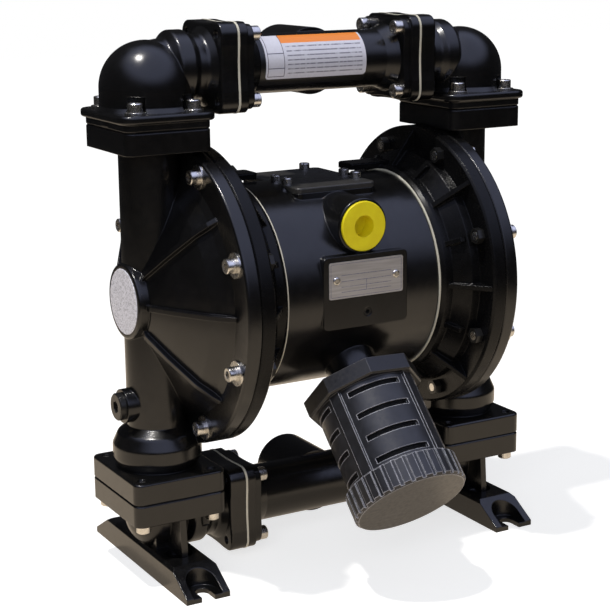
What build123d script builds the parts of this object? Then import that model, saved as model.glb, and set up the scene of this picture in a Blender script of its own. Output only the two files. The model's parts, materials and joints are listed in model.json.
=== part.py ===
from build123d import *
import os
from math import sqrt

# Air operated double diaphragm pump with 1-1/2 inch ports. Millimetres, +Z up.
# X runs along the main shaft, -Y faces the air inlet and nameplate, +Y faces the liquid ports.
# The origin lies on the floor, midway between the four foot notches.

# ---- driving dimensions -------------------------------------------------------------------
AXIS_Z = 252.0            # height of the main shaft above the floor
COLUMN_X = 165.0          # the liquid columns stand this far each side of the middle

BODY_R = 95.0             # centre body
BODY_HALF = 79.0
BODY_GASKET_T = 1.5
AIR_X0 = BODY_HALF + BODY_GASKET_T
LUG_X = (50.0, 96.0)      # lug of the air chamber over the centre body
LUG_Y = (12.0, 38.0)
LUG_Z = (96.0, 102.0)
RIM_X0 = 112.0            # back of the air chamber's rim flange
RIM_JOINT = 126.0         # air chamber meets liquid chamber
RIM_X1 = 139.0            # outer face of the liquid chamber's rim flange
RIM_R = 135.5
RIM_SCREWS = 8
RIM_PCR = 122.0           # pitch circle radius of the rim screws

BOSS_R = 34.0             # end boss of the liquid chamber, with its grey medallion
BOSS_X = 193.0
MEDALLION_R = 29.5
MEDALLION_T = 1.5

COLUMN_R = 26.5
NECK_R = 40.5             # bulge round the inlet ball
CAGE_TOP = -124.0         # roof of the inlet ball's cage
TOP_JOINT = 154.0         # top joint above the shaft
TOP_T = 19.5              # liquid chamber's top flange
TOP_SIZE = (80.0, 97.0)
BOTTOM_JOINT = 174.0      # bottom joint below the shaft
BOTTOM_T = 20.0
FLANGE_CORNER = 8.0
JOINT_BEVEL = 1.2         # bevel along both edges of every bolted joint
BOTTOM_SIZE = (89.0, 104.0)
TOP_SCREW = (27.0, 37.0)  # half spacings of the elbow screws
BOTTOM_SCREW = (34.0, 41.0)

PIPE_Z = 202.5            # manifold centre lines above and below the shaft
PIPE_R = 26.7
PIPE_BORE_R = 20.0
PIPE_FLANGE = 79.0
PIPE_FLANGE_X0 = 78.0
PIPE_GASKET_X = (93.0, 95.0)
ELBOW_FLANGE_X1 = 111.0
PIPE_SCREW = 29.0         # half spacing of the manifold flange screws, both ways
PORT_BOSS_R = 30.5
PORT_R = 22.42            # minor radius of a G1-1/2 thread
PORT_DEPTH = 24.0
PORT_Y = 62.0

DOME_R = 41.0             # outlet ball dome
DOME_Z = 187.0
LIP_SIZE = (90.0, 105.0)
LIP_Z = (161.0, 168.5)

BALL_R = 23.0
SEAT_R = 32.0
SEAT_BORE_R = 17.0
SEAT_T = 10.0
SEAT_RING = 2.5           # seat O-ring, as a square section that fills its groove

SHAFT_R = 11.0
BUSH_R = 14.0
RUNNING_GAP = 0.05        # radial clearance of every sliding fit
STROKE = 17.0
PLATE_R = 55.0
PLATE_FACE = 119.0        # air side of the inner plate where it meets the pilot rod
DIAPHRAGM_R = 109.0
DIAPHRAGM_T = 3.0
PILOT_R = 4.0
PILOT_Z = -45.0
PILOT_STROKE = 6.0

SPOOL_Z = 60.0
SPOOL_R = 12.0
SLEEVE_R = 16.0

INLET_Z = 63.0
INLET_FACE_Y = -90.0
INLET_R = 12.06           # minor radius of a G3/4 thread
INLET_LEAD_R = 13.25      # plain lead-in ahead of the thread; the dust plug sits in it
INLET_LEAD = 16.0
INLET_DEPTH = 34.0
PLUG_FLANGE_R = 22.5
INLET_BOSS_R = 25.0

PAD_HALF_X = 43.5
PAD_Z = (-27.0, 39.0)
PAD_Y = -95.5
EARTH_X, EARTH_Z = 2.0, -14.0
NAMEPLATE = (77.0, 33.0)
NAMEPLATE_Z = 17.5

CHEST_TOP = 89.0          # valve chest, with a flat cover above it
CHEST_X = 42.0
CHEST_Y = (-46.0, 62.0)
COVER_T = 5.0

DRAIN_Z = -95.5           # drain plug on the outside of the lower column
DRAIN_X = 198.5

MUFFLER_TILT = 135.0      # the muffler leans 45 degrees down and forward
MUFFLER_TURN = 18.5       # turn of the barrel about that axis
MUFFLER_START = 120.0     # distances from the shaft along the muffler's own axis
MUFFLER_COLLAR = 16.0
MUFFLER_CAP = 216.0
MUFFLER_END = 242.0
MUFFLER_R = 47.0
MUFFLER_SLOT_Z = 143.5    # first row of slots
MUFFLER_SLOT_PITCH = 22.0
MUFFLER_CAP_R = 52.5

FOOT_X = (145.0, 187.0)
FOOT_TOP = -228.0
FOOT_RIDGE_Y = 70.0
FOOT_Y = 102.0
FOOT_TIP_Z = -247.0
NOTCH_R = 6.5
NOTCH_Y = 89.0
POCKET_R = 14.0           # bolt head pocket above each notch
POCKET_FLOOR = 4.5

M8_CLEAR_R = 4.5
M8_TAP_R = 4.05
M8_SHANK_R = 3.95
M8_HEAD_R = 6.5
M8_HEAD_H = 8.0
NUT_H = 6.8
WASHER_R = 11.0
WASHER_T = 1.8


# ---- small helpers ------------------------------------------------------------------------
def along_x(radius, x0, x1, y=0.0, z=0.0):
    """A round bar along X from x0 to x1."""
    return Pos((x0 + x1) / 2, y, z) * Rot(0, 90, 0) * Cylinder(radius, abs(x1 - x0))


def along_y(radius, y0, y1, x=0.0, z=0.0):
    """A round bar along Y from y0 to y1."""
    return Pos(x, (y0 + y1) / 2, z) * Rot(90, 0, 0) * Cylinder(radius, abs(y1 - y0))


def along_z(radius, z0, z1, x=0.0, y=0.0):
    """A round bar along Z from z0 to z1."""
    return Pos(x, y, (z0 + z1) / 2) * Cylinder(radius, abs(z1 - z0))


def block(x, y, z):
    """A box from three (low, high) pairs."""
    centre = Pos(sum(x) / 2, sum(y) / 2, sum(z) / 2)
    return centre * Box(x[1] - x[0], y[1] - y[0], z[1] - z[0])


def turned(points):
    """A solid of revolution about X from (x, radius) points."""
    outline = Polyline(*[(x, r) for x, r in points], close=True)
    return revolve(make_face(outline), Axis.X, 360)


def turned_soft(points, soft):
    """A solid of revolution about X from (x, radius) points, with rounded corners between its ends."""
    low, high = points[0][0], points[-1][0]
    face = make_face(Polyline((low, 0), *points, (high, 0), close=True))
    corners = [v for v in face.vertices() if v.Y > 0.1 and low < v.X < high]
    return revolve(fillet(corners, soft), Axis.X, 360)


def plate(size, corner, z0, z1, x=0.0):
    """A rounded rectangular plate, flat in XY."""
    face = RectangleRounded(size[0], size[1], corner)
    return Pos(x, 0, z0) * extrude(face, z1 - z0)


def around_x(solid, angle):
    """The solid turned about the shaft axis."""
    return Rot(angle, 0, 0) * solid


def union(solids):
    """One shape from a list of solids."""
    result = solids[0]
    for solid in solids[1:]:
        result = result + solid
    return result


def group(solids):
    """Separate solids kept together as one shape."""
    parts = []
    for solid in solids:
        parts.extend(solid.solids())
    return Compound(children=parts)


def mirrored(solid):
    """The same piece on the other side of the pump."""
    return mirror(solid, about=Plane.YZ)


def four(size):
    """The four corners of a rectangle given by its half sizes."""
    return [(sx * size[0], sy * size[1]) for sx in (-1, 1) for sy in (-1, 1)]


def rim_angles():
    """Angles of the rim screws, from +Y towards +Z."""
    step = 360.0 / RIM_SCREWS
    return [step * (k + 0.5) for k in range(RIM_SCREWS)]


def on_rim(solid):
    """Copies of a solid built at +Y, one at each rim screw."""
    return [around_x(solid, angle) for angle in rim_angles()]


# ---- screws -------------------------------------------------------------------------------
def socket_screw(grip, head_r=M8_HEAD_R, head_h=M8_HEAD_H, shank_r=M8_SHANK_R):
    """A socket head cap screw: underside of the head at z=0, shank down to -grip."""
    head = along_z(head_r, 0, head_h)
    head = chamfer(head.edges().sort_by(Axis.Z)[-1], 0.7)
    socket = extrude(RegularPolygon(head_r * 0.55, 6), head_h * 0.55)
    return head - Pos(0, 0, head_h * 0.45) * socket + along_z(shank_r, -grip, 0)


def washer(thick=WASHER_T, outer=WASHER_R, hole=M8_CLEAR_R):
    """A flat washer standing on z=0."""
    return along_z(outer, 0, thick) - along_z(hole, 0, thick)


def facing_x(solid, x, y, z):
    """A screw or washer turned so that its head points to +X."""
    return Pos(x, y, z) * Rot(0, 90, 0) * solid


# ---- chambers -----------------------------------------------------------------------------
def dome_points(grow=0.0):
    """Outer profile of the liquid chamber from rim to boss, as (x, radius)."""
    return [
        (RIM_X1 + grow * 0.3, 110.5 + grow),
        (143 + grow, 104 + grow),
        (153 + grow, 92 + grow * 0.7),
        (170 + grow, 62 + grow * 0.7),
        (183 + grow, BOSS_R + 2 + grow * 0.4),
    ]


def liquid_chamber():
    """Right liquid chamber: rim flange, ribbed dome, column, two square flanges."""
    dome = turned([(RIM_JOINT, 0), (RIM_JOINT, 110.5)] + dome_points() + [(183, 0)])
    flange = along_x(RIM_R, RIM_JOINT, RIM_X1)
    flange = fillet(flange.edges().sort_by(Axis.X)[-1], 2.5)
    flange = chamfer(flange.edges().sort_by(Axis.X)[0], JOINT_BEVEL)
    boss = along_x(BOSS_R, 150, BOSS_X)
    boss = fillet(boss.edges().sort_by(Axis.X)[-1], 2)
    ridge = turned([(RIM_X1 - 1, 0), (RIM_X1 - 1, 112)] + dome_points(4.0) + [(184, 0)])
    ribs = []
    for angle in (45, 135, 180, 225, 315, 0):
        fin = block((RIM_X1 - 1, 186), (0, 118), (-2.4, 2.4))
        ribs.append(around_x(fin, angle) & ridge)
    column = along_z(COLUMN_R, -BOTTOM_JOINT + 4, TOP_JOINT - 4, COLUMN_X)
    neck = turned_soft([
        (-BOTTOM_JOINT + 4, NECK_R - 5), (-BOTTOM_JOINT + BOTTOM_T, NECK_R - 4), (-145, NECK_R),
        (-133, NECK_R), (-122, NECK_R - 5), (-115, COLUMN_R - 1),
    ], 7)
    neck = Pos(COLUMN_X, 0, 0) * Rot(0, -90, 0) * neck & block((RIM_JOINT + 1, 220), (-60, 60), (-BOTTOM_JOINT, 0))
    top = plate(TOP_SIZE, FLANGE_CORNER, TOP_JOINT - TOP_T, TOP_JOINT, COLUMN_X)
    top = chamfer(top.edges().group_by(Axis.Z)[-1], JOINT_BEVEL)
    top = top - along_x(RIM_R + 1, RIM_X0, RIM_JOINT)
    bottom = plate(BOTTOM_SIZE, FLANGE_CORNER, -BOTTOM_JOINT, -BOTTOM_JOINT + BOTTOM_T, COLUMN_X)
    bottom = fillet(bottom.edges().group_by(Axis.Z)[-1], 2)
    bottom = chamfer(bottom.edges().group_by(Axis.Z)[0], JOINT_BEVEL)
    drain = along_x(15.5, COLUMN_X, DRAIN_X, 0, DRAIN_Z)
    solid = union([flange, dome, boss, column, neck, top, bottom, drain])
    solid = union([solid] + ribs)

    cavity = turned([
        (RIM_JOINT, 0), (RIM_JOINT, 103), (141, 97), (166, 52), (171, 30), (171, 0),
    ])
    clamp = along_x(DIAPHRAGM_R + 0.5, RIM_JOINT, RIM_JOINT + DIAPHRAGM_T / 2)
    bore = along_z(19.5, CAGE_TOP - 1, TOP_JOINT, COLUMN_X)
    cage = along_z(31, -BOTTOM_JOINT, CAGE_TOP, COLUMN_X)
    seat = along_z(SEAT_R + 0.1, TOP_JOINT - SEAT_T, TOP_JOINT, COLUMN_X)
    solid = solid - cavity - clamp - bore - cage - seat
    for angle in (45, 135, 225, 315):
        guide = block((BALL_R + 0.6, 32.5), (-2.5, 2.5), (-BOTTOM_JOINT + 3, CAGE_TOP + 2))
        solid = solid + Pos(COLUMN_X, 0, 0) * Rot(0, 0, angle) * guide
    solid = solid - along_x(MEDALLION_R + 0.1, BOSS_X - 1, BOSS_X + 1)
    solid = solid - along_x(8.1, 186, DRAIN_X, 0, DRAIN_Z)
    solid = solid - along_x(15.5, DRAIN_X, DRAIN_X + 12, 0, DRAIN_Z)
    hole = along_x(M8_CLEAR_R, RIM_JOINT - 1, RIM_X1 + 4, RIM_PCR, 0)
    for one in on_rim(hole):
        solid = solid - one
    for x, y in four(TOP_SCREW):
        solid = solid - along_z(M8_TAP_R, TOP_JOINT - 16, TOP_JOINT, COLUMN_X + x, y)
    for x, y in four(BOTTOM_SCREW):
        top_face = -BOTTOM_JOINT + BOTTOM_T
        solid = solid - along_z(M8_TAP_R, -BOTTOM_JOINT, top_face + 1, COLUMN_X + x, y)
    return solid


def air_chamber():
    """Right air chamber: dished wall behind the diaphragm, open ribs up to the rim flange."""
    solid = turned([
        (AIR_X0, 22), (AIR_X0, 97), (84, 99.5), (92, 99.5), (104, 112.5), (RIM_X0, 113.5),
        (RIM_X0, RIM_R - 2), (RIM_X0 + 2, RIM_R), (RIM_JOINT - JOINT_BEVEL, RIM_R),
        (RIM_JOINT, RIM_R - JOINT_BEVEL), (RIM_JOINT, 104),
        (112, 98), (98, 84), (92, 60), (92, 22),
    ])
    web = Polyline((85, 97), (RIM_X0 + 1, 134), (RIM_X0 + 1, 112), (92, 97), close=True)
    short_web = Polyline((85, 97), (97, 112), (102, 112), (92, 97), close=True)
    for k in range(2 * RIM_SCREWS):
        outline = web if k % 2 == 0 else short_web
        rib = extrude(Plane.XZ * make_face(outline), 2.3, both=True)
        solid = solid + around_x(rib, 90 + k * 180.0 / RIM_SCREWS)
    lug = plate((LUG_X[1] - LUG_X[0], LUG_Y[1] - LUG_Y[0]), 4, LUG_Z[0], LUG_Z[1], sum(LUG_X) / 2)
    lug = Pos(0, sum(LUG_Y) / 2, 0) * chamfer(lug.edges().group_by(Axis.Z)[-1], 1)
    solid = solid + lug + block((AIR_X0, 92), (LUG_Y[0] + 2, LUG_Y[1] - 2), (84, LUG_Z[0] + 1))
    solid = solid - along_x(DIAPHRAGM_R + 0.5, RIM_JOINT - DIAPHRAGM_T / 2, RIM_JOINT)
    solid = solid - along_x(PILOT_R + 2, AIR_X0, 95, 0, PILOT_Z)
    hole = along_x(M8_CLEAR_R, RIM_X0 - 1, RIM_JOINT + 1, RIM_PCR, 0)
    for one in on_rim(hole):
        solid = solid - one
    return solid


def body_gasket():
    """Pale ring between the centre body and the right air chamber."""
    return turned([(BODY_HALF, 84), (BODY_HALF, 96.4), (AIR_X0, 96.4), (AIR_X0, 84)])


def medallion():
    """Grey disc set in the boss of the right liquid chamber."""
    disc = along_x(MEDALLION_R, BOSS_X - 1, BOSS_X - 1 + MEDALLION_T)
    return chamfer(disc.edges().sort_by(Axis.X)[-1], 0.4)


def drain_plug():
    """Socket head drain plug in the lower column."""
    face = DRAIN_X + 6
    plug = along_x(8.0, 188, DRAIN_X, 0, DRAIN_Z) + along_x(12.5, DRAIN_X, face, 0, DRAIN_Z)
    plug = chamfer(plug.edges().sort_by(Axis.X)[-1], 1.0)
    hexagon = extrude(RegularPolygon(5.8, 6), 8)
    return plug - facing_x(hexagon, face - 6, 0, DRAIN_Z)


# ---- centre body --------------------------------------------------------------------------
def center_body():
    """Air motor housing between the two air chambers."""
    barrel = along_x(BODY_R, -BODY_HALF, BODY_HALF)
    chest = block((-CHEST_X, CHEST_X), CHEST_Y, (50, CHEST_TOP))
    chest = fillet(chest.edges().filter_by(Axis.Z), 6)
    inlet = along_y(INLET_BOSS_R, -35, INLET_FACE_Y, 0, INLET_Z)
    inlet = fillet(inlet.edges().sort_by(Axis.Y)[0], 1.5)
    pad = Pos(0, PAD_Y / 2, sum(PAD_Z) / 2) * Box(2 * PAD_HALF_X, -PAD_Y, PAD_Z[1] - PAD_Z[0])
    pad = fillet(pad.edges().filter_by(Axis.Y), 5)
    exhaust = Rot(MUFFLER_TILT, 0, 0) * along_z(24, 60, MUFFLER_START - 1)
    solid = union([barrel, chest, inlet, pad, exhaust])
    solid = solid - block((-CHEST_X, CHEST_X), CHEST_Y, (CHEST_TOP, BODY_R + 5))

    solid = solid - along_x(SHAFT_R + 1.5, -BODY_HALF, BODY_HALF)
    solid = solid - along_x(SLEEVE_R, -BODY_HALF, BODY_HALF, 0, SPOOL_Z)
    solid = solid - along_x(PILOT_R + RUNNING_GAP, -BODY_HALF, BODY_HALF, 0, PILOT_Z)
    for side in (-1, 1):
        solid = solid - along_x(BUSH_R, side * 50, side * 74)
        solid = solid - along_x(BUSH_R + 4, side * 74, side * BODY_HALF)
    solid = solid - along_y(INLET_LEAD_R, INLET_FACE_Y - 1, INLET_FACE_Y + INLET_LEAD, 0, INLET_Z)
    solid = solid - along_y(INLET_R, INLET_FACE_Y, INLET_FACE_Y + INLET_DEPTH, 0, INLET_Z)
    solid = solid - along_y(7, INLET_FACE_Y + INLET_DEPTH - 1, -8, 0, INLET_Z)
    solid = solid - Rot(MUFFLER_TILT, 0, 0) * along_z(13.1, 70, MUFFLER_START)
    for x, y in cover_screw_places():
        solid = solid - along_z(2.6, CHEST_TOP - 14, CHEST_TOP, x, y)
    solid = solid - along_y(M8_TAP_R, PAD_Y - 1, PAD_Y + 12, EARTH_X, EARTH_Z)
    for side in (-1, 1):
        solid = solid - along_y(1.6, PAD_Y - 1, PAD_Y + 4, side * 31, NAMEPLATE_Z)
    return solid


def cover_screw_places():
    """Cover screws, as (x, y) points: a pair at each side and one at the back."""
    return [(sx * 36.5, y) for sx in (-1, 1) for y in (-18.0, 3.0)] + [(24.0, 56.0)]


def valve_cover():
    """Flat lid of the valve chest."""
    size = (2 * CHEST_X, CHEST_Y[1] - CHEST_Y[0])
    lid = Pos(0, sum(CHEST_Y) / 2, 0) * plate(size, 6, CHEST_TOP, CHEST_TOP + COVER_T)
    lid = chamfer(lid.edges().group_by(Axis.Z)[-1], 1.0)
    for x, y in cover_screw_places():
        lid = lid - along_z(3.2, CHEST_TOP, CHEST_TOP + COVER_T, x, y)
    return lid


def valve_cover_screws():
    """Socket screws of the valve chest cover."""
    screw = socket_screw(16, 5.0, 6.0, 2.5)
    return group([Pos(x, y, CHEST_TOP + COVER_T) * screw for x, y in cover_screw_places()])


def earth_screw():
    """Earth terminal: a socket set screw sunk in the tapped hole under the nameplate."""
    screw = along_y(M8_SHANK_R, PAD_Y + 0.8, PAD_Y + 11, EARTH_X, EARTH_Z)
    socket = Rot(-90, 0, 0) * extrude(RegularPolygon(2.3, 6), 4)
    return screw - Pos(EARTH_X, PAD_Y, EARTH_Z) * socket


def nameplate():
    """Bare plate on the front pad, with two rivet holes."""
    face = RectangleRounded(NAMEPLATE[0], NAMEPLATE[1], 2)
    sheet = Pos(0, PAD_Y, NAMEPLATE_Z) * Rot(90, 0, 0) * extrude(face, 0.8)
    for side in (-1, 1):
        sheet = sheet - along_y(1.8, PAD_Y - 1, PAD_Y, side * 31, NAMEPLATE_Z)
    return sheet


def nameplate_rivets():
    """Two domed drive rivets."""
    pins = []
    for side in (-1, 1):
        head = along_y(3.6, PAD_Y - 2.2, PAD_Y - 0.8, side * 31, NAMEPLATE_Z)
        head = fillet(head.edges().sort_by(Axis.Y)[0], 1.2)
        pins.append(head + along_y(1.55, PAD_Y - 0.8, PAD_Y + 3.8, side * 31, NAMEPLATE_Z))
    return group(pins)


def dust_plug():
    """Flanged push-in plug of the air inlet, hollow in front."""
    flange = along_y(PLUG_FLANGE_R, INLET_FACE_Y - 2.6, INLET_FACE_Y - 0.1, 0, INLET_Z)
    flange = fillet(flange.edges().sort_by(Axis.Y)[0], 1.0)
    cup_end = INLET_FACE_Y + INLET_LEAD - 1.5
    cup = along_y(INLET_LEAD_R - RUNNING_GAP, INLET_FACE_Y - 0.1, cup_end, 0, INLET_Z)
    return flange + cup - along_y(9.8, INLET_FACE_Y - 3, cup_end - 1.6, 0, INLET_Z)


# ---- moving parts inside --------------------------------------------------------------------
def main_shaft():
    """Shaft that ties the two diaphragms together, with a waisted middle."""
    end = RIM_JOINT + 16
    bar = along_x(SHAFT_R, -113, 113) + along_x(8, -end, end)
    return bar - turned([(-18, 9), (-18, 12), (18, 12), (18, 9)])


def diaphragm():
    """Right diaphragm at mid stroke: clamped bead, rolled convolution, flat centre."""
    half = DIAPHRAGM_T / 2
    outer = [(RIM_JOINT + half, 8.05), (RIM_JOINT + half, 68), (RIM_JOINT - 5, 84)]
    outer += [(RIM_JOINT + half, 100), (RIM_JOINT + half, DIAPHRAGM_R)]
    inner = [(RIM_JOINT - half, DIAPHRAGM_R), (RIM_JOINT - half, 99), (RIM_JOINT - 8, 84)]
    inner += [(RIM_JOINT - half, 69), (RIM_JOINT - half, 8.05)]
    return turned(outer + inner)


def inner_plate():
    """Air side diaphragm plate on the right."""
    x1 = RIM_JOINT - DIAPHRAGM_T / 2
    return turned([
        (113, 8.05), (113, 20), (PLATE_FACE, 26), (PLATE_FACE, PLATE_R - 3), (x1, PLATE_R), (x1, 8.05),
    ])


def outer_plate():
    """Liquid side diaphragm plate on the right, domed, screwed on the shaft."""
    x0 = RIM_JOINT + DIAPHRAGM_T / 2
    end = RIM_JOINT + 16
    return turned([
        (x0, 8.05), (x0, PLATE_R), (x0 + 3, PLATE_R - 2), (x0 + 9, 38), (end + 3, 16),
        (end + 3, 0), (end + 0.1, 0), (end + 0.1, 8.05),
    ])


def shaft_bush():
    """Right shaft bush pressed into the centre body."""
    return along_x(BUSH_R, 50.1, 73.9) - along_x(SHAFT_R + RUNNING_GAP, 50, 74)


def shaft_seal():
    """Right lip seal outside the bush."""
    ring = along_x(BUSH_R + 4, 74, BODY_HALF) - along_x(SHAFT_R + RUNNING_GAP, 74, BODY_HALF)
    return ring


def pilot_rod():
    """Rod that the inner plates push to flip the air valve."""
    end = PLATE_FACE - STROKE + PILOT_STROKE - 0.2
    return along_x(PILOT_R, -end, end, 0, PILOT_Z)


def valve_sleeve():
    """Ported sleeve that the spool slides in."""
    tube = along_x(SLEEVE_R, -60, 60, 0, SPOOL_Z)
    tube = tube - along_x(SPOOL_R + RUNNING_GAP, -60, 60, 0, SPOOL_Z)
    for x in (-36, 0, 36):
        groove = along_x(SLEEVE_R, x - 5, x + 5, 0, SPOOL_Z)
        tube = tube - (groove - along_x(SLEEVE_R - 1.8, x - 5, x + 5, 0, SPOOL_Z))
        tube = tube - along_y(3, -20, 20, x, SPOOL_Z) - along_z(3, SPOOL_Z - 20, SPOOL_Z + 20, x)
    return tube


def valve_spool():
    """Air valve spool with four lands."""
    spool = along_x(7, -50, 50, 0, SPOOL_Z)
    for x in (-46, -18, 18, 46):
        spool = spool + along_x(SPOOL_R, x - 4, x + 4, 0, SPOOL_Z)
    return spool


def valve_end_cap():
    """Right plug that closes the valve bore."""
    cap = along_x(SLEEVE_R - 0.05, 60, BODY_HALF, 0, SPOOL_Z)
    return cap - along_x(8, 60, 68, 0, SPOOL_Z)


# ---- liquid valves --------------------------------------------------------------------------
def seat(top):
    """Valve seat whose flat top lies at the given height; its mouth is bevelled for the ball."""
    ring = along_z(SEAT_R, top - SEAT_T + SEAT_RING, top, COLUMN_X)
    bore = along_z(SEAT_BORE_R, top - SEAT_T, top, COLUMN_X)
    bevel = Pos(COLUMN_X, 0, top - 1.5) * Cone(SEAT_BORE_R, SEAT_BORE_R + 3, 3)
    return ring - bore - bevel


def seat_ring(top):
    """O-ring under the seat."""
    z0 = top - SEAT_T
    return along_z(SEAT_R, z0, z0 + SEAT_RING, COLUMN_X) - along_z(28, z0, z0 + SEAT_RING, COLUMN_X)


def ball(top):
    """Ball resting on the seat's bevel."""
    # The ball meets the 45 degree bevel, so its centre stands r * sqrt(2) above the cone's tip.
    centre = top - 3 - SEAT_BORE_R + BALL_R * sqrt(2) + 0.02
    return Pos(COLUMN_X, 0, centre) * Sphere(BALL_R)


# ---- elbows and manifolds -------------------------------------------------------------------
def pipe_flange(x0, x1, size=PIPE_FLANGE):
    """Square flange across X with rounded ears and slightly hollow sides."""
    half = size / 2
    outline = Rectangle(size, size)
    outline = fillet(outline.vertices(), 11)
    for angle in (0, 90, 180, 270):
        outline = outline - Rot(0, 0, angle) * Pos(half + 199, 0, 0) * Circle(200)
    return Pos(x0, 0, 0) * Rot(0, 90, 0) * extrude(outline, x1 - x0)


def pipe_screw_holes(x0, x1, radius):
    """Four holes across X at the manifold flange's corners."""
    return [along_x(radius, x0, x1, y, z) for y, z in four((PIPE_SCREW, PIPE_SCREW))]


def elbow_pipe(z):
    """Short pipe from an elbow to its flange, with a round bead, a waist and a flare."""
    bead = turned_soft([
        (ELBOW_FLANGE_X1 - 1, 36), (117, 29.3), (126, 29.3), (131, 33.2), (144, 33.2),
        (150, 26.5), (COLUMN_X, 24.5),
    ], 4)
    flange = pipe_flange(PIPE_GASKET_X[1], ELBOW_FLANGE_X1)
    flange = fillet(flange.edges().group_by(Axis.X)[-1], 2)
    return Pos(0, 0, z) * (bead + flange)


def top_elbow():
    """Right outlet elbow: square base with an overhanging lip, ball dome, pipe flange."""
    base = plate(TOP_SIZE, FLANGE_CORNER, TOP_JOINT, LIP_Z[0] + 1, COLUMN_X)
    base = chamfer(base.edges().group_by(Axis.Z)[0], JOINT_BEVEL)
    lip = plate(LIP_SIZE, 14, LIP_Z[0], LIP_Z[1], COLUMN_X)
    lip = fillet(lip.edges().group_by(Axis.Z)[-1], 2.5)
    lip = fillet(lip.edges().group_by(Axis.Z)[0], 2.5)
    dome = along_z(DOME_R, TOP_JOINT + 2, DOME_Z, COLUMN_X) + Pos(COLUMN_X, 0, DOME_Z) * Sphere(DOME_R)
    dome = dome & block((100, 220), (-60, 60), (TOP_JOINT + 2, 240))
    root = Pos(COLUMN_X, 0, LIP_Z[1] + 2) * Cone(DOME_R + 3, DOME_R, 4)
    solid = union([base, lip, root, dome, elbow_pipe(PIPE_Z)])
    cage = along_z(31, TOP_JOINT, DOME_Z, COLUMN_X) + Pos(COLUMN_X, 0, DOME_Z) * Sphere(31)
    cage = cage & block((100, 220), (-60, 60), (TOP_JOINT, 230))
    solid = solid - cage - along_x(PIPE_BORE_R, PIPE_GASKET_X[1], COLUMN_X, 0, PIPE_Z)
    solid = solid + along_z(4, DOME_Z + BALL_R - 5, DOME_Z + 33, COLUMN_X + 9)
    for x, y in four(TOP_SCREW):
        solid = solid - along_z(M8_CLEAR_R, TOP_JOINT, LIP_Z[1], COLUMN_X + x, y)
        spot = along_z(WASHER_R - 1.5, LIP_Z[1], LIP_Z[1] + 14, COLUMN_X + x, y)
        solid = solid - spot
    for hole in pipe_screw_holes(PIPE_GASKET_X[1], ELBOW_FLANGE_X1 + 1, M8_TAP_R):
        solid = solid - Pos(0, 0, PIPE_Z) * hole
    return solid


def foot_bar():
    """Foot under the right elbow: sloped ends, open notches with bolt head pockets."""
    floor = -AXIS_Z
    outline = Polyline(
        (-FOOT_Y, floor), (FOOT_Y, floor), (FOOT_Y, FOOT_TIP_Z), (FOOT_RIDGE_Y, FOOT_TOP),
        (-FOOT_RIDGE_Y, FOOT_TOP), (-FOOT_Y, FOOT_TIP_Z), close=True,
    )
    bar = Pos(FOOT_X[0], 0, 0) * extrude(Plane.YZ * make_face(outline), FOOT_X[1] - FOOT_X[0])
    bar = chamfer(bar.edges().filter_by(Axis.Y).group_by(Axis.Z)[-1], 3)
    middle = sum(FOOT_X) / 2
    for side in (-1, 1):
        bar = bar - along_z(NOTCH_R, floor, FOOT_TOP, middle, side * NOTCH_Y)
        bar = bar - block((middle - NOTCH_R, middle + NOTCH_R),
                          sorted((side * NOTCH_Y, side * (FOOT_Y + 1))), (floor, FOOT_TOP))
        bar = bar - along_z(POCKET_R, floor + POCKET_FLOOR, FOOT_TOP, middle, side * NOTCH_Y)
        bar = bar - block((middle - POCKET_R, middle + POCKET_R),
                          sorted((side * NOTCH_Y, side * (FOOT_Y + 1))),
                          (floor + POCKET_FLOOR, FOOT_TOP))
        bar = bar - along_z(12, FOOT_TOP - 6, FOOT_TOP, middle, side * 43)
    return bar


def foot_elbow():
    """Right inlet elbow, cast together with its foot."""
    joint = -BOTTOM_JOINT
    base = plate(BOTTOM_SIZE, FLANGE_CORNER, joint - 20, joint, COLUMN_X)
    base = chamfer(base.edges().group_by(Axis.Z)[-1], JOINT_BEVEL)
    knuckle = Pos(COLUMN_X, 0, -PIPE_Z) * Sphere(32) + along_z(31, -PIPE_Z, joint - 5, COLUMN_X)
    knuckle = knuckle & block((100, 220), (-60, 60), (-AXIS_Z, joint - 1))
    post = block((150, 180), (-24, 24), (FOOT_TOP - 2, -PIPE_Z))
    web = Polyline((-51, joint - 19), (51, joint - 19), (54, FOOT_TOP - 1), (-54, FOOT_TOP - 1),
                   close=True)
    gusset = Pos(COLUMN_X - 3, 0, 0) * extrude(Plane.YZ * make_face(web), 6)
    solid = union([base, knuckle, post, gusset, elbow_pipe(-PIPE_Z), foot_bar()])
    solid = solid - block((ELBOW_FLANGE_X1 + 2, 220), (-60, 60), (joint, joint + 20))
    solid = solid - along_z(SEAT_R + 0.1, joint - SEAT_T, joint, COLUMN_X)
    solid = solid - along_z(PIPE_BORE_R, -PIPE_Z, joint, COLUMN_X)
    solid = solid - along_x(PIPE_BORE_R, PIPE_GASKET_X[1], COLUMN_X, 0, -PIPE_Z)
    solid = solid - (Pos(COLUMN_X, 0, -PIPE_Z) * Sphere(PIPE_BORE_R))
    for x, y in four(BOTTOM_SCREW):
        solid = solid - along_z(M8_CLEAR_R, joint - 20, joint, COLUMN_X + x, y)
        solid = solid - along_z(WASHER_R, joint - 38, joint - 20, COLUMN_X + x, y)
    for hole in pipe_screw_holes(PIPE_GASKET_X[1], ELBOW_FLANGE_X1 + 1, M8_TAP_R):
        solid = solid - Pos(0, 0, -PIPE_Z) * hole
    return solid


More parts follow.
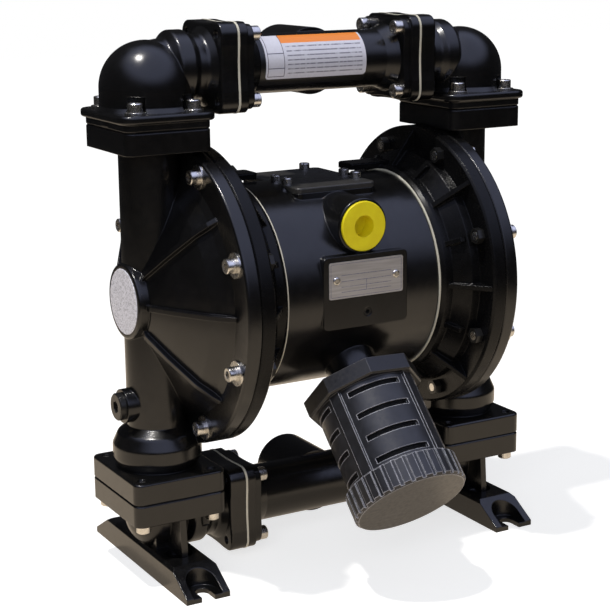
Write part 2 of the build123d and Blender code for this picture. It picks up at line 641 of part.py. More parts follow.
def manifold(z):
    """Tube with a stepped flange at each end and a threaded port boss facing +Y."""
    tube = along_x(PIPE_R, -82, 82)
    boss = along_y(PORT_BOSS_R, 0, PORT_Y)
    boss = fillet(boss.edges().sort_by(Axis.Y)[-1], 2)
    solid = union([tube, boss])
    for side in (0, 180):
        wide = pipe_flange(85, PIPE_GASKET_X[0])
        thin = pipe_flange(PIPE_FLANGE_X0, 86, PIPE_FLANGE - 5)
        root = turned([(66, 0), (66, PIPE_R), (74, PIPE_R + 3), (79, PIPE_R + 5), (79, 0)])
        solid = solid + Rot(0, 0, side) * (wide + thin + root)
    solid = solid - along_x(PIPE_BORE_R, -PIPE_GASKET_X[0], PIPE_GASKET_X[0])
    solid = solid - along_y(PIPE_BORE_R, 0, PORT_Y)
    solid = solid - along_y(PORT_R, PORT_Y - PORT_DEPTH, PORT_Y)
    for side in (-1, 1):
        low, high = sorted((side * 60, side * PIPE_GASKET_X[0]))
        for hole in pipe_screw_holes(low, high, M8_CLEAR_R):
            solid = solid - hole
        for y, z1 in four((PIPE_SCREW, PIPE_SCREW)):
            low, high = sorted((side * 60, side * PIPE_FLANGE_X0))
            solid = solid - along_x(M8_HEAD_R + 1, low, high, y, z1)
    return Pos(0, 0, z) * solid


def pipe_gasket(z):
    """Right flange gasket of a manifold."""
    sheet = pipe_flange(PIPE_GASKET_X[0], PIPE_GASKET_X[1], PIPE_FLANGE + 0.6)
    sheet = sheet - along_x(PIPE_BORE_R, PIPE_GASKET_X[0], PIPE_GASKET_X[1])
    for hole in pipe_screw_holes(PIPE_GASKET_X[0], PIPE_GASKET_X[1], M8_CLEAR_R):
        sheet = sheet - hole
    return Pos(0, 0, z) * sheet


def manifold_label():
    """Thin bare label wrapped round the front of the outlet manifold."""
    skin = along_x(PIPE_R + 0.4, -66, 43) - along_x(PIPE_R + 0.02, -66, 43)
    face = block((-66, 43), (-40, -11), (-18, 26))
    return Pos(0, 0, PIPE_Z) * (skin & face)


# ---- fastener groups ------------------------------------------------------------------------
def rim_screws():
    """Right rim screws, heads outward."""
    screw = socket_screw(RIM_X1 + WASHER_T - RIM_X0 + NUT_H)
    return group(on_rim(facing_x(screw, RIM_X1 + WASHER_T, RIM_PCR, 0)))


def rim_washers():
    """Right rim washers under the screw heads."""
    return group(on_rim(facing_x(washer(), RIM_X1, RIM_PCR, 0)))


def rim_nuts():
    """Right rim nuts on the back of the air chamber's flange."""
    nut = extrude(RegularPolygon(7.5, 6), NUT_H) - along_z(M8_CLEAR_R, 0, NUT_H)
    return group(on_rim(facing_x(nut, RIM_X0 - NUT_H, RIM_PCR, 0)))


def top_elbow_screws():
    """All eight screws that hold the outlet elbows down."""
    screw = socket_screw(26)
    places = [(side * COLUMN_X + x, y) for side in (-1, 1) for x, y in four(TOP_SCREW)]
    return group([Pos(x, y, LIP_Z[1] + WASHER_T) * screw for x, y in places])


def top_elbow_washers():
    """Washers of the outlet elbow screws."""
    ring = washer(WASHER_T, WASHER_R - 2)
    places = [(side * COLUMN_X + x, y) for side in (-1, 1) for x, y in four(TOP_SCREW)]
    return group([Pos(x, y, LIP_Z[1]) * ring for x, y in places])


def foot_elbow_screws():
    """All eight screws that hold the foot elbows up, heads downward."""
    screw = Rot(180, 0, 0) * socket_screw(38.5)
    places = [(side * COLUMN_X + x, y) for side in (-1, 1) for x, y in four(BOTTOM_SCREW)]
    return group([Pos(x, y, -BOTTOM_JOINT - 20) * screw for x, y in places])


def manifold_screws(z):
    """The eight screws of one manifold's two flanges, heads towards the middle."""
    screws = []
    for side in (0, 180):
        screw = Rot(0, -90, 0) * socket_screw(30)
        for y, z1 in four((PIPE_SCREW, PIPE_SCREW)):
            screws.append(Rot(0, 0, side) * Pos(PIPE_FLANGE_X0, y, z1) * screw)
    return Pos(0, 0, z) * group(screws)


# ---- muffler --------------------------------------------------------------------------------
def leaning(solid):
    """From the muffler's own axis, +Z, to its place on the centre body."""
    return Rot(MUFFLER_TILT, 0, 0) * solid


def muffler_nipple():
    """Threaded nipple between the exhaust boss and the muffler."""
    end = MUFFLER_START + MUFFLER_COLLAR - 1
    tube = along_z(13, 72, end) - along_z(9, 72, end)
    return leaning(tube)


def muffler_barrel():
    """Slotted barrel with an eight-sided collar and four raised staves."""
    z0 = MUFFLER_START
    z1 = z0 + MUFFLER_COLLAR
    collar = Pos(0, 0, z0) * extrude(RegularPolygon(MUFFLER_R + 8, 8), MUFFLER_COLLAR)
    collar = chamfer(collar.edges().group_by(Axis.Z)[-1], 1.5)
    wall = along_z(MUFFLER_R, z1, MUFFLER_CAP) - along_z(MUFFLER_R - 5, z1, MUFFLER_CAP)
    for k in range(4):
        stave = block((MUFFLER_R - 3, MUFFLER_R + 2.5), (-5.5, 5.5), (z1, MUFFLER_CAP))
        wall = wall + Rot(0, 0, 45 + 90 * k) * stave
    for row in range(4):
        middle = MUFFLER_SLOT_Z + MUFFLER_SLOT_PITCH * row
        for k in range(4):
            cut = block((MUFFLER_R - 12, MUFFLER_R + 6), (-24, 24), (middle - 2.5, middle + 2.5))
            wall = wall - Rot(0, 0, 90 * k) * cut
    barrel = collar + wall
    return leaning(Rot(0, 0, MUFFLER_TURN) * (barrel - along_z(13.1, z0, z1)))


def muffler_core():
    """Porous inner sleeve behind the slots."""
    z0 = MUFFLER_START + MUFFLER_COLLAR
    tube = along_z(MUFFLER_R - 6, z0, MUFFLER_CAP) - along_z(MUFFLER_R - 12, z0, MUFFLER_CAP)
    return leaning(tube)


def muffler_cap():
    """Fluted end cap."""
    cap = along_z(MUFFLER_CAP_R, MUFFLER_CAP, MUFFLER_END)
    cap = chamfer(cap.edges().sort_by(Axis.Z)[-1], 2.5)
    cap = chamfer(cap.edges().sort_by(Axis.Z)[0], 1.2)
    for k in range(32):
        flute = Pos(MUFFLER_CAP_R + 0.6, 0, (MUFFLER_CAP + MUFFLER_END) / 2) * Box(4, 3.4, 30)
        cap = cap - Rot(0, 0, 360.0 / 32 * k) * flute
    return leaning(cap - along_z(MUFFLER_R - 14, MUFFLER_CAP, MUFFLER_END - 4))


# ---- build ----------------------------------------------------------------------------------
def both_sides(name, solid):
    """Right piece and its mirror image."""
    return {"right_" + name: solid, "left_" + name: mirrored(solid)}


def build():
    nodes = {
        "center_body": center_body(),
        "valve_cover": valve_cover(),
        "valve_cover_screws": valve_cover_screws(),
        "earth_screw": earth_screw(),
        "nameplate": nameplate(),
        "nameplate_rivets": nameplate_rivets(),
        "air_inlet_dust_plug": dust_plug(),
        "main_shaft": main_shaft(),
        "pilot_rod": pilot_rod(),
        "valve_sleeve": valve_sleeve(),
        "valve_spool": valve_spool(),
        "outlet_manifold": manifold(PIPE_Z),
        "inlet_manifold": manifold(-PIPE_Z),
        "manifold_label": manifold_label(),
        "outlet_manifold_screws": manifold_screws(PIPE_Z),
        "inlet_manifold_screws": manifold_screws(-PIPE_Z),
        "top_elbow_screws": top_elbow_screws(),
        "top_elbow_washers": top_elbow_washers(),
        "foot_elbow_screws": foot_elbow_screws(),
        "muffler_nipple": muffler_nipple(),
        "muffler_barrel": muffler_barrel(),
        "muffler_core": muffler_core(),
        "muffler_cap": muffler_cap(),
    }
    pairs = {
        "liquid_chamber": liquid_chamber(),
        "air_chamber": air_chamber(),
        "body_gasket": body_gasket(),
        "diaphragm": diaphragm(),
        "inner_plate": inner_plate(),
        "outer_plate": outer_plate(),
        "top_elbow": top_elbow(),
        "foot_elbow": foot_elbow(),
        "rim_screws": rim_screws(),
        "rim_washers": rim_washers(),
        "outlet_ball": ball(TOP_JOINT),
        "inlet_ball": ball(-BOTTOM_JOINT),
    }
    for name, solid in pairs.items():
        nodes.update(both_sides(name, solid))
    twins = {
        "outlet_gaskets": pipe_gasket(PIPE_Z),
        "inlet_gaskets": pipe_gasket(-PIPE_Z),
        "outlet_seats": seat(TOP_JOINT),
        "inlet_seats": seat(-BOTTOM_JOINT),
        "outlet_seat_rings": seat_ring(TOP_JOINT),
        "inlet_seat_rings": seat_ring(-BOTTOM_JOINT),
        "medallions": medallion(),
        "drain_plugs": drain_plug(),
        "shaft_bushes": shaft_bush(),
        "shaft_seals": shaft_seal(),
        "valve_end_caps": valve_end_cap(),
        "rim_nuts": rim_nuts(),
    }
    for name, solid in twins.items():
        nodes[name] = group([solid, mirrored(solid)])
    return nodes


os.makedirs("parts", exist_ok=True)
for node_name, shape in build().items():
    export_step(Pos(0, 0, AXIS_Z) * shape, "parts/" + node_name + ".step")
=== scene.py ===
import json
import math

import bpy
from mathutils import Matrix, Vector


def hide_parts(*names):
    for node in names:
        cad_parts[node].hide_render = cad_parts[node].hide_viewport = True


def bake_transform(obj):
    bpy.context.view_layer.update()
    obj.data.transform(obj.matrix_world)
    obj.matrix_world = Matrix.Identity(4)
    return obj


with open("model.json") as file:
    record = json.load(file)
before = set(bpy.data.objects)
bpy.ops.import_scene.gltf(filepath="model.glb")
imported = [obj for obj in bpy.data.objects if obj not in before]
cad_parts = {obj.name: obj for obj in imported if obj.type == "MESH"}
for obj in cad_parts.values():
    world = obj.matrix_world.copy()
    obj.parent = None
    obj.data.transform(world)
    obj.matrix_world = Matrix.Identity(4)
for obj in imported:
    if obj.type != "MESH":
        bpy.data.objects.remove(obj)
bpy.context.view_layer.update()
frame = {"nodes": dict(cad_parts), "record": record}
nodes = frame["nodes"]

# Everything is in metres, in the pump's own frame: +X along the shaft, -Y the nameplate side,
# +Z up. Sizes named as mm are divided by 1000 where they are used.

# ---- camera -----------------------------------------------------------------------------------
AXIS_Z = 0.252                       # height of the shaft
CAMERA_AT = Vector((-0.71722, -1.24459, 0.56455))
CAMERA_AZIMUTH = math.radians(-29.66)
CAMERA_ELEVATION = math.radians(13.3)
CAMERA_ROLL = math.radians(-0.51)
LENS = 91.84                         # on a 36 mm sensor


def make_camera():
    """The camera, from its measured place, direction and roll."""
    az, el = CAMERA_AZIMUTH, CAMERA_ELEVATION
    back = Vector((math.sin(az) * math.cos(el), -math.cos(az) * math.cos(el), math.sin(el)))
    right = (-back).cross(Vector((0, 0, 1))).normalized()
    up = back.cross(right)
    c, s = math.cos(CAMERA_ROLL), math.sin(CAMERA_ROLL)
    right, up = c * right + s * up, c * up - s * right
    data = bpy.data.cameras.new("camera")
    data.lens = LENS
    data.sensor_width = 36
    data.sensor_fit = "HORIZONTAL"
    data.clip_end = 20
    camera = bpy.data.objects.new("camera", data)
    turned = Matrix((right, up, back)).transposed().to_4x4()
    camera.matrix_world = Matrix.Translation(CAMERA_AT) @ turned
    bpy.context.scene.collection.objects.link(camera)
    bpy.context.scene.camera = camera


# ---- materials --------------------------------------------------------------------------------
def colour_ramp(tree, value, stops):
    """Colours or greys along a value, as (place, colour) stops."""
    made = tree.nodes.new("ShaderNodeValToRGB")
    band = made.color_ramp
    while len(band.elements) < len(stops):
        band.elements.new(0.5)
    for element, (at, colour) in zip(band.elements, stops):
        element.position = at
        element.color = (*colour, 1) if hasattr(colour, "__len__") else (colour,) * 3 + (1,)
    tree.links.new(value, made.inputs["Fac"])
    return made.outputs["Color"]


def colour_sockets(sockets):
    """The colour sockets of a Mix node, which has one set for each kind of data."""
    return [s for s in sockets if s.type == "RGBA"]


class Surface:
    """A Principled material under construction."""

    def __init__(self, name, roughness=0.5, metallic=0.0, specular=0.5):
        self.material = bpy.data.materials.new(name)
        self.material.use_nodes = True
        self.tree = self.material.node_tree
        self.shader = self.tree.nodes["Principled BSDF"]
        self.shader.inputs["Roughness"].default_value = roughness
        self.shader.inputs["Metallic"].default_value = metallic
        self.shader.inputs["Specular IOR Level"].default_value = specular
        self.place = self.node("ShaderNodeTexCoord").outputs["Object"]
        self.normal = None

    def node(self, kind, **settings):
        made = self.tree.nodes.new(kind)
        for key, value in settings.items():
            setattr(made, key, value)
        return made

    def link(self, out, into):
        self.tree.links.new(out, into)

    def noise(self, scale, detail=3.0, stretch=None, roughness=0.5):
        """Noise value over the piece; stretch squeezes the pattern along an axis."""
        made = self.node("ShaderNodeTexNoise")
        made.inputs["Scale"].default_value = scale
        made.inputs["Detail"].default_value = detail
        made.inputs["Roughness"].default_value = roughness
        where = self.place
        if stretch:
            mapping = self.node("ShaderNodeMapping")
            mapping.inputs["Scale"].default_value = stretch
            self.link(where, mapping.inputs["Vector"])
            where = mapping.outputs["Vector"]
        self.link(where, made.inputs["Vector"])
        return made.outputs["Fac"]

    def ramp(self, value, stops):
        return colour_ramp(self.tree, value, stops)

    def math(self, operation, a, b=None, clamp=False):
        made = self.node("ShaderNodeMath", operation=operation, use_clamp=clamp)
        for socket, value in zip(made.inputs, (a, b)):
            if hasattr(value, "is_linked"):
                self.link(value, socket)
            elif value is not None:
                socket.default_value = value
        return made.outputs["Value"]

    def mix(self, share, a, b):
        """Colour a where share is 0 and b where it is 1."""
        made = self.node("ShaderNodeMix", data_type="RGBA")
        self.link(share, made.inputs["Factor"])
        for socket, value in zip(colour_sockets(made.inputs), (a, b)):
            if hasattr(value, "is_linked"):
                self.link(value, socket)
            else:
                socket.default_value = (*value, 1)
        return colour_sockets(made.outputs)[0]

    def axis(self, name, origin=0.0, scale=1000.0):
        """A coordinate over the piece, in millimetres from the origin given in metres."""
        if not hasattr(self, "split"):
            self.split = self.node("ShaderNodeSeparateXYZ")
            self.link(self.place, self.split.inputs[0])
        shifted = self.math("SUBTRACT", self.split.outputs[name], origin)
        return self.math("MULTIPLY", shifted, scale)

    def within(self, value, low, high):
        """1 where low < value < high."""
        above = self.math("GREATER_THAN", value, low)
        return self.math("MULTIPLY", above, self.math("LESS_THAN", value, high))

    def both(self, a, b):
        return self.math("MULTIPLY", a, b)

    def either(self, a, b):
        return self.math("MAXIMUM", a, b)

    def panel(self, x, z, x_span, z_span, corner=0.0):
        """1 inside a rounded rectangle on the x and z coordinates."""
        beyond = []
        for value, (low, high) in ((x, x_span), (z, z_span)):
            offset = self.math("ABSOLUTE", self.math("SUBTRACT", value, (low + high) / 2))
            past = self.math("SUBTRACT", offset, (high - low) / 2 - corner)
            beyond.append(self.math("MAXIMUM", past, 0.0))
        squared = self.math("ADD", *(self.math("POWER", value, 2.0) for value in beyond))
        return self.math("LESS_THAN", squared, max(corner, 0.001) ** 2)

    def frame_line(self, x, z, x_span, z_span, corner, thick):
        """1 on the outline of a rounded rectangle."""
        outside = self.panel(x, z, x_span, z_span, corner)
        x_in = (x_span[0] + thick, x_span[1] - thick)
        z_in = (z_span[0] + thick, z_span[1] - thick)
        inside = self.panel(x, z, x_in, z_in, max(corner - thick, 0.0))
        return self.math("SUBTRACT", outside, inside)

    def rounded(self, radius, samples=4):
        """Softens every sharp edge by that radius."""
        made = self.node("ShaderNodeBevel", samples=samples)
        made.inputs["Radius"].default_value = radius
        self.normal = made.outputs["Normal"]
        return self

    def edges(self, radius, sharp=0.93):
        """1 along sharp edges and 0 on the faces between them."""
        wide = self.node("ShaderNodeBevel", samples=4)
        wide.inputs["Radius"].default_value = radius
        flat = self.node("ShaderNodeNewGeometry").outputs["Normal"]
        dot = self.node("ShaderNodeVectorMath", operation="DOT_PRODUCT")
        self.link(wide.outputs["Normal"], dot.inputs[0])
        self.link(flat, dot.inputs[1])
        return self.ramp(dot.outputs["Value"], [(sharp, 1.0), (0.995, 0.0)])

    def bump(self, height, strength, distance):
        made = self.node("ShaderNodeBump")
        made.inputs["Strength"].default_value = strength
        made.inputs["Distance"].default_value = distance
        self.link(height, made.inputs["Height"])
        if self.normal is not None:
            self.link(self.normal, made.inputs["Normal"])
        self.normal = made.outputs["Normal"]
        return self

    def done(self, colour=None, roughness=None):
        if colour is not None:
            self.link(colour, self.shader.inputs["Base Color"])
        if roughness is not None:
            self.link(roughness, self.shader.inputs["Roughness"])
        if self.normal is not None:
            self.link(self.normal, self.shader.inputs["Normal"])
        return self.material


def casting(name, low, high, rough, specular=0.5):
    """Coated aluminium casting: fine orange peel and faint mottling."""
    s = Surface(name, specular=specular)
    s.rounded(0.0013, 6)
    colour = s.ramp(s.noise(38, 4), [(0.3, low), (0.7, high)])
    s.bump(s.noise(900, 2), 0.35, 0.00003)
    s.bump(s.noise(55, 2), 0.25, 0.0001)
    return s.done(colour, s.ramp(s.noise(150, 3), [(0.3, rough[0]), (0.7, rough[1])]))


def steel(name, colour, rough):
    """Bare stainless steel with fine drawing lines and a little staining."""
    s = Surface(name, metallic=1.0)
    s.rounded(0.0004)
    stain = s.noise(240, 4)
    tone = s.ramp(stain, [(0.25, tuple(c * 0.72 for c in colour)), (0.65, colour)])
    s.bump(s.noise(1600, 2, stretch=(1, 1, 0.2)), 0.25, 0.00003)
    return s.done(tone, s.ramp(s.noise(700, 3), [(0.3, rough[0]), (0.7, rough[1])]))


def plastic(name, low, high, rough, grain=0.00003):
    """Moulded plastic or rubber."""
    s = Surface(name, specular=0.4)
    s.rounded(0.0005)
    colour = s.ramp(s.noise(90, 4), [(0.3, low), (0.7, high)])
    s.bump(s.noise(1400, 2), 0.4, grain)
    return s.done(colour, s.ramp(s.noise(300, 3), [(0.3, rough[0]), (0.7, rough[1])]))


LABEL_X = (-61.0, 43.0)              # printed film, in mm along the shaft
LABEL_Z = (190.0, 230.0)             # and above the shaft
LABEL_COLUMN = -42.0                 # left column of boxes ends here
LABEL_HEAD = 221.0                   # orange strip above this height
LABEL_BOXES = (199.5, 212.5)         # heights of the bars between the boxes
LABEL_LINE, LABEL_PITCH = 1.1, 3.9   # ruled lines
BLACK_MARGIN = (0.004, 0.004, 0.0045)


def label_film():
    """Label film without words: an orange strip, a column of boxes and ruled lines."""
    s = Surface("label_film", roughness=0.3, specular=0.5)
    x, z = s.axis("X"), s.axis("Z", AXIS_Z)
    paper, ink, orange = (0.60, 0.61, 0.72), (0.075, 0.075, 0.12), (0.72, 0.22, 0.03)
    tone = s.ramp(s.noise(400, 3), [(0.3, tuple(c * 0.93 for c in paper)), (0.7, paper)])
    row = s.math("MODULO", s.math("SUBTRACT", z, LABEL_Z[0] + 4.2), LABEL_PITCH)
    text = s.panel(x, z, (LABEL_COLUMN + 3, LABEL_X[1] - 4), (LABEL_Z[0] + 4, LABEL_HEAD - 2))
    rule = s.both(s.within(row, 0.0, LABEL_LINE), text)
    broken = s.ramp(s.noise(260, 2, stretch=(1, 1, 0.05)), [(0.36, 0.25), (0.5, 0.75)])
    tone = s.mix(s.both(rule, broken), tone, ink)
    head = s.panel(x, z, (LABEL_COLUMN, LABEL_X[1] - 2), (LABEL_HEAD, LABEL_Z[1]))
    tone = s.mix(head, tone, orange)
    column = (LABEL_X[0] + 2, LABEL_COLUMN)
    lines = s.frame_line(x, z, column, (LABEL_Z[0] + 2, LABEL_Z[1]), 0.5, 0.6)
    for height in LABEL_BOXES:
        bar = s.panel(x, z, column, (height - 0.35, height + 0.35))
        lines = s.either(lines, bar)
    tone = s.mix(lines, tone, ink)
    film = s.panel(x, z, LABEL_X, (LABEL_Z[0], LABEL_Z[1] + 10), 3.0)
    return s.done(s.mix(film, BLACK_MARGIN, tone))


PLATE_BORDER_X = (-37.0, 37.0)       # nameplate, in mm along the shaft
PLATE_BORDER_Z = (2.4, 32.6)         # and above the shaft
PLATE_ROWS = (22.0, 16.5, 11.5, 6.8)


def nameplate_metal():
    """Brushed plate with a thin border and ruled blank fields."""
    s = Surface("nameplate_metal", metallic=0.75, specular=0.5)
    x, z = s.axis("X"), s.axis("Z", AXIS_Z)
    brushed = s.noise(500, 3, stretch=(0.06, 1, 1))
    colour = s.ramp(brushed, [(0.3, (0.42, 0.42, 0.44)), (0.7, (0.55, 0.55, 0.58))])
    ink = (0.13, 0.15, 0.30)
    lines = s.frame_line(x, z, PLATE_BORDER_X, PLATE_BORDER_Z, 1.5, 0.5)
    for height in PLATE_ROWS:
        lines = s.either(lines, s.panel(x, z, (-26.0, 26.0), (height - 0.3, height + 0.3)))
    lines = s.either(lines, s.panel(x, z, (-0.3, 0.3), (PLATE_ROWS[3], PLATE_ROWS[1])))
    faded = s.ramp(s.noise(900, 2), [(0.3, 0.35), (0.6, 0.85)])
    colour = s.mix(s.both(lines, faded), colour, ink)
    s.bump(s.noise(1500, 2, stretch=(0.05, 1, 1)), 0.2, 0.00002)
    return s.done(colour, s.ramp(s.noise(700, 3), [(0.3, 0.34), (0.7, 0.46)]))


def medallion_face():
    """Light stippled disc."""
    s = Surface("medallion_face", specular=0.4)
    stipple = s.noise(850, 2)
    colour = s.ramp(stipple, [(0.32, (0.36, 0.37, 0.43)), (0.55, (0.74, 0.75, 0.84))])
    s.bump(stipple, 0.6, 0.0003)
    return s.done(colour, s.ramp(s.noise(300, 3), [(0.3, 0.42), (0.7, 0.55)]))


COLLAR_END = 138.0                   # end of the muffler's collar, in mm from the shaft's axis
COLLAR_EDGE_HIGHLIGHT = 0.12                   # painted highlights on the edges there, as a share of those on the barrel


def muffler_plastic():
    """Dark moulded polyamide with pale painted highlights along its edges, weakest on the collar.
    """
    s = Surface("muffler_polyamide", specular=0.5)
    s.rounded(0.0009, 6)
    down = s.math("SUBTRACT", s.math("MULTIPLY", s.axis("Y"), -1.0), s.axis("Z", AXIS_Z))
    reach = s.math("MULTIPLY", down, math.sqrt(0.5))
    barrel = s.math("GREATER_THAN", reach, COLLAR_END)
    colour = s.ramp(s.noise(90, 4), [(0.3, (0.011, 0.0115, 0.014)), (0.7, (0.019, 0.02, 0.025))])
    colour = s.mix(barrel, (0.005, 0.005, 0.006), colour)
    # Painted highlight: the edges are mixed towards a pale blue-grey, as if their rounded lips
    # caught the sky.
    painted_edge_highlight = s.ramp(s.noise(220, 2), [(0.3, 0.5), (0.6, 0.9)])
    painted_edge_highlight = s.both(painted_edge_highlight, s.math("MAXIMUM", barrel, COLLAR_EDGE_HIGHLIGHT))
    colour = s.mix(s.both(s.edges(0.0011, 0.96), painted_edge_highlight), colour, (0.50, 0.51, 0.58))
    s.bump(s.noise(1400, 2), 0.3, 0.00004)
    return s.done(colour, s.ramp(s.noise(300, 3), [(0.3, 0.3), (0.7, 0.42)]))


def make_materials():
    """One material for each slot of the record."""
    return {
        "casting_black": casting("coated_casting", (0.0028, 0.0028, 0.003),
                                 (0.0048, 0.0048, 0.0052), (0.20, 0.27)),
        "cover_grey": casting("cover_casting", (0.020, 0.019, 0.018),
                              (0.030, 0.029, 0.027), (0.42, 0.55)),
        "stainless": steel("stainless_steel", (0.72, 0.70, 0.66), (0.2, 0.34)),
        "nameplate_aluminium": nameplate_metal(),
        "shaft_steel": steel("ground_steel", (0.62, 0.62, 0.62), (0.12, 0.2)),
        "plate_aluminium": steel("machined_aluminium", (0.66, 0.67, 0.69), (0.3, 0.42)),
        "medallion_grey": medallion_face(),
        "plug_yellow": plastic("yellow_polyethylene", (0.74, 0.62, 0.008),
                               (0.82, 0.72, 0.012), (0.4, 0.55)),
        "ptfe_white": plastic("ptfe", (0.50, 0.48, 0.41), (0.62, 0.60, 0.52), (0.45, 0.6)),
        "label_white": label_film(),
        "plug_black": plastic("plug_coating", (0.006,) * 3, (0.010,) * 3, (0.28, 0.4)),
        "bush_plastic": plastic("acetal", (0.02, 0.02, 0.022), (0.03, 0.03, 0.032), (0.35, 0.5)),
        "diaphragm_rubber": plastic("diaphragm_compound", (0.010,) * 3, (0.016,) * 3, (0.6, 0.75)),
        "muffler_plastic": muffler_plastic(),
        "muffler_felt": plastic("muffler_felt", (0.008, 0.008, 0.009), (0.014, 0.014, 0.015),
                                (0.8, 0.95), grain=0.0003),
    }


def dress(materials):
    """Gives every CAD node the material of its slot; the air chambers get painted shade: a darker
    copy of the casting with weak reflections.
    """
    # Painted shade: this darker, weakly reflecting copy stands in for the shade inside the air
    # chambers' deep pockets, and darkens their outer rims as well.
    painted_shade_casting = casting("shaded_casting", (0.0024, 0.0024, 0.0026), (0.004, 0.004, 0.0045), (0.22, 0.3),
                   specular=0.16)
    for row in frame["record"]["subparts"]:
        obj = nodes[row["node"]]
        obj.data.materials.clear()
        chamber = row["node"].endswith("_air_chamber")
        obj.data.materials.append(painted_shade_casting if chamber else materials[row["material_slot"]])


# ---- diaphragms -------------------------------------------------------------------------------
# Half of the section, in mm: distance from the middle of the pump, and radius.
LIQUID_SIDE = [(127.5, 8.05), (127.5, 57), (127.5, 68), (121, 84), (127.5, 100), (127.5, 109)]
AIR_SIDE = [(124.5, 109), (124.5, 99), (118, 84), (124.5, 69), (124.5, 57), (124.5, 8.05)]
SECTORS = 16


def fine(points, step=4.0):
    """The same line with more points along it, so that it bends smoothly."""
    out = [points[0]]
    for (x0, r0), (x1, r1) in zip(points, points[1:]):
        count = max(1, round(math.hypot(x1 - x0, r1 - r0) / step))
        out += [(x0 + (x1 - x0) * k / count, r0 + (r1 - r0) * k / count)
                for k in range(1, count + 1)]
    return out


def sector_mesh(name, side, start, turn, steps=4):
    """A closed wedge of the diaphragm between two angles."""
    section = fine(LIQUID_SIDE) + fine(AIR_SIDE)
    points, faces, n = [], [], len(section)
    for j in range(steps + 1):
        angle = start + turn * j / steps
        y, z = math.cos(angle), math.sin(angle)
        points += [(side * x / 1000, r * y / 1000, AXIS_Z + r * z / 1000) for x, r in section]
    for j in range(steps):
        for k in range(n):
            a, b = j * n + k, j * n + (k + 1) % n
            quad = (a, b, b + n, a + n)
            faces.append(quad if side > 0 else quad[::-1])
    ends = [tuple(range(n))[::-1], tuple(range(steps * n, steps * n + n))]
    faces += ends if side > 0 else [end[::-1] for end in ends]
    mesh = bpy.data.meshes.new(name)
    mesh.from_pydata(points, [], faces)
    mesh.validate()
    return mesh


def make_diaphragms(material):
    """Diaphragms built as wedges around the shaft, clamped at the rim, in place of the CAD
    diaphragms, which are hidden.
    """
    for side, word in ((1, "right"), (-1, "left")):
        for k in range(SECTORS):
            name = f"{word}_diaphragm_sector_{k:02d}"
            turn = 2 * math.pi / SECTORS
            wedge = bpy.data.objects.new(name, sector_mesh(name, side, k * turn, turn))
            bpy.context.scene.collection.objects.link(wedge)
            wedge.data.materials.append(material)
            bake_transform(wedge)
            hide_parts(word + "_diaphragm")


# ---- floor and light --------------------------------------------------------------------------
def area_light(name, at, size, power, colour):
    """A square lamp that faces the pump."""
    data = bpy.data.lights.new(name, "AREA")
    data.shape = "SQUARE"
    data.size = size
    data.energy = power
    data.color = colour
    lamp = bpy.data.objects.new(name, data)
    lamp.location = at
    lamp.rotation_euler = (LIT_POINT - Vector(at)).to_track_quat("-Z", "Y").to_euler()
    bpy.context.scene.collection.objects.link(lamp)
    return lamp


def shader_tree(owner):
    """An empty node tree for a material or world, with its output node."""
    owner.use_nodes = True
    tree = owner.node_tree
    tree.nodes.clear()
    kind = "World" if isinstance(owner, bpy.types.World) else "Material"
    return tree, tree.nodes.new("ShaderNodeOutput" + kind)


FLOOR_HALF = 6.0
NEAR, FAR = 0.7, 1.5                 # the floor changes between these distances from the pump
GROUND_NEAR = (0.60, 0.50, 0.38)     # warm pale ground, as reflections and light see it
GROUND_FAR = (0.05, 0.05, 0.05)
GLOW_NEAR = (0.44, 0.37, 0.29)       # light that the near ground gives back besides
PAPER = 0.60                         # the floor as the camera sees it: its own colour plus a glow
PAPER_GLOW = (0.70, 1.1)             # near and far
GLOW_END, PAPER_END = 0.7, 0.6       # shares of the way from near to far
SKY_AXIS = (0.0, -0.38, 0.925)       # the bright part of the sky leans towards the front
SKY_TOP = (0.82, 0.90, 1.32)
SKY_EDGE = (0.025, 0.025, 0.028)
SKY_RISE, SKY_FULL = 0.5, 0.76       # the sky brightens between these cosines from its axis
SOFT_LIGHT = (0.24, 0.25, 0.28)      # what the sky gives to surfaces that don't mirror it


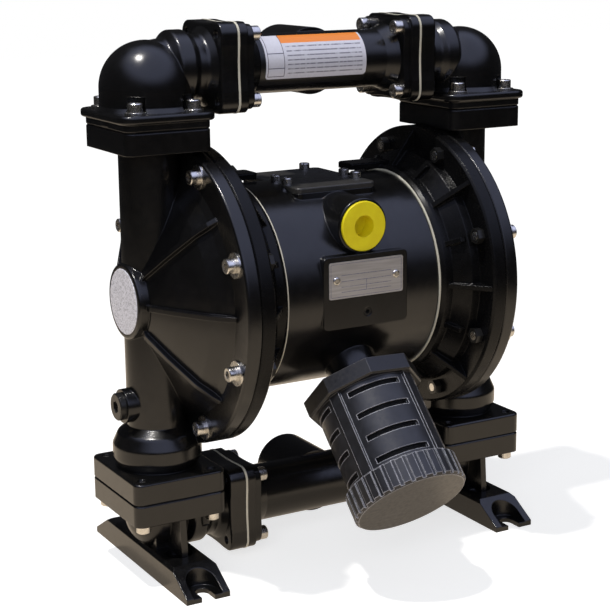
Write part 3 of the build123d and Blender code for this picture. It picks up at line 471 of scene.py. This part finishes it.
def make_floor():
    """Floor that keeps the shadow near the pump and is plain white for the camera far out."""
    mesh = bpy.data.meshes.new("floor")
    h = FLOOR_HALF
    mesh.from_pydata([(-h, -h, 0), (h, -h, 0), (h, h, 0), (-h, h, 0)], [], [(0, 1, 2, 3)])
    floor = bpy.data.objects.new("floor", mesh)
    bpy.context.scene.collection.objects.link(floor)
    material = bpy.data.materials.new("floor_paper")
    tree, out = shader_tree(material)
    place = tree.nodes.new("ShaderNodeTexCoord")
    length = tree.nodes.new("ShaderNodeVectorMath")
    length.operation = "LENGTH"
    tree.links.new(place.outputs["Object"], length.inputs[0])
    share = tree.nodes.new("ShaderNodeMapRange")
    share.inputs["From Min"].default_value = NEAR
    share.inputs["From Max"].default_value = FAR
    tree.links.new(length.outputs["Value"], share.inputs["Value"])
    away = share.outputs["Result"]
    camera_ray = tree.nodes.new("ShaderNodeLightPath").outputs["Is Camera Ray"]

    def blended(seen_by_rays, seen_by_camera):
        mix = tree.nodes.new("ShaderNodeMix")
        mix.data_type = "RGBA"
        tree.links.new(camera_ray, mix.inputs["Factor"])
        for socket, stops in zip(colour_sockets(mix.inputs), (seen_by_rays, seen_by_camera)):
            tree.links.new(colour_ramp(tree, away, stops), socket)
        return colour_sockets(mix.outputs)[0]

    diffuse = tree.nodes.new("ShaderNodeBsdfDiffuse")
    body = blended([(0.0, GROUND_NEAR), (1.0, GROUND_FAR)], [(0.0, PAPER), (PAPER_END, 0.0)])
    tree.links.new(body, diffuse.inputs["Color"])
    glow = tree.nodes.new("ShaderNodeEmission")
    light = blended([(0.0, GLOW_NEAR), (GLOW_END, 0.0)],
                    [(0.0, PAPER_GLOW[0]), (PAPER_END, PAPER_GLOW[1])])
    tree.links.new(light, glow.inputs["Color"])
    add = tree.nodes.new("ShaderNodeAddShader")
    tree.links.new(diffuse.outputs[0], add.inputs[0])
    tree.links.new(glow.outputs[0], add.inputs[1])
    tree.links.new(add.outputs[0], out.inputs[0])
    floor.data.materials.append(material)


def make_world():
    """White behind the pump; mirrored it is a pale sky that is dim at the horizon."""
    world = bpy.data.worlds.new("studio")
    bpy.context.scene.world = world
    tree, out = shader_tree(world)
    seen = tree.nodes.new("ShaderNodeBackground")
    seen.inputs["Color"].default_value = (1, 1, 1, 1)
    place = tree.nodes.new("ShaderNodeTexCoord")
    height = tree.nodes.new("ShaderNodeVectorMath")
    height.operation = "DOT_PRODUCT"
    height.inputs[1].default_value = SKY_AXIS
    tree.links.new(place.outputs["Generated"], height.inputs[0])
    sky = colour_ramp(tree, height.outputs["Value"],
                      [(0.0, SKY_EDGE), (SKY_RISE, SKY_EDGE), (SKY_FULL, SKY_TOP)])
    mirrored = tree.nodes.new("ShaderNodeBackground")
    tree.links.new(sky, mirrored.inputs["Color"])
    soft = tree.nodes.new("ShaderNodeBackground")
    soft.inputs["Color"].default_value = (*SOFT_LIGHT, 1)
    path = tree.nodes.new("ShaderNodeLightPath")
    lit = tree.nodes.new("ShaderNodeMixShader")
    tree.links.new(path.outputs["Is Glossy Ray"], lit.inputs[0])
    tree.links.new(soft.outputs[0], lit.inputs[1])
    tree.links.new(mirrored.outputs[0], lit.inputs[2])
    either = tree.nodes.new("ShaderNodeMath")
    either.operation = "MAXIMUM"
    tree.links.new(path.outputs["Is Camera Ray"], either.inputs[0])
    tree.links.new(path.outputs["Is Transmission Ray"], either.inputs[1])
    choose = tree.nodes.new("ShaderNodeMixShader")
    tree.links.new(either.outputs[0], choose.inputs[0])
    tree.links.new(lit.outputs[0], choose.inputs[1])
    tree.links.new(seen.outputs[0], choose.inputs[2])
    tree.links.new(choose.outputs[0], out.inputs[0])


LIT_POINT = Vector((0, 0, 0.3))
KEY_DIRECTION = Vector((-0.284, -0.036, 0.958))
KEY_DISTANCE, KEY_SIZE, KEY_POWER = 2.4, 0.10, 48
FILL_AT, FILL_SIZE, FILL_POWER = (-1.6, -1.9, 1.3), 1.4, 22


def make_lights():
    """A small key high on the left and a soft fill that leaves no highlight of its own."""
    area_light("key_lamp", LIT_POINT + KEY_DIRECTION * KEY_DISTANCE, KEY_SIZE, KEY_POWER,
               (1.0, 0.96, 0.90))
    fill = area_light("soft_fill", FILL_AT, FILL_SIZE, FILL_POWER, (0.92, 0.95, 1.0))
    fill.visible_glossy = False


make_camera()
make_floor()
make_world()
make_lights()
materials = make_materials()
dress(materials)
make_diaphragms(materials["diaphragm_rubber"])

bpy.context.scene.view_settings.view_transform = "Standard"
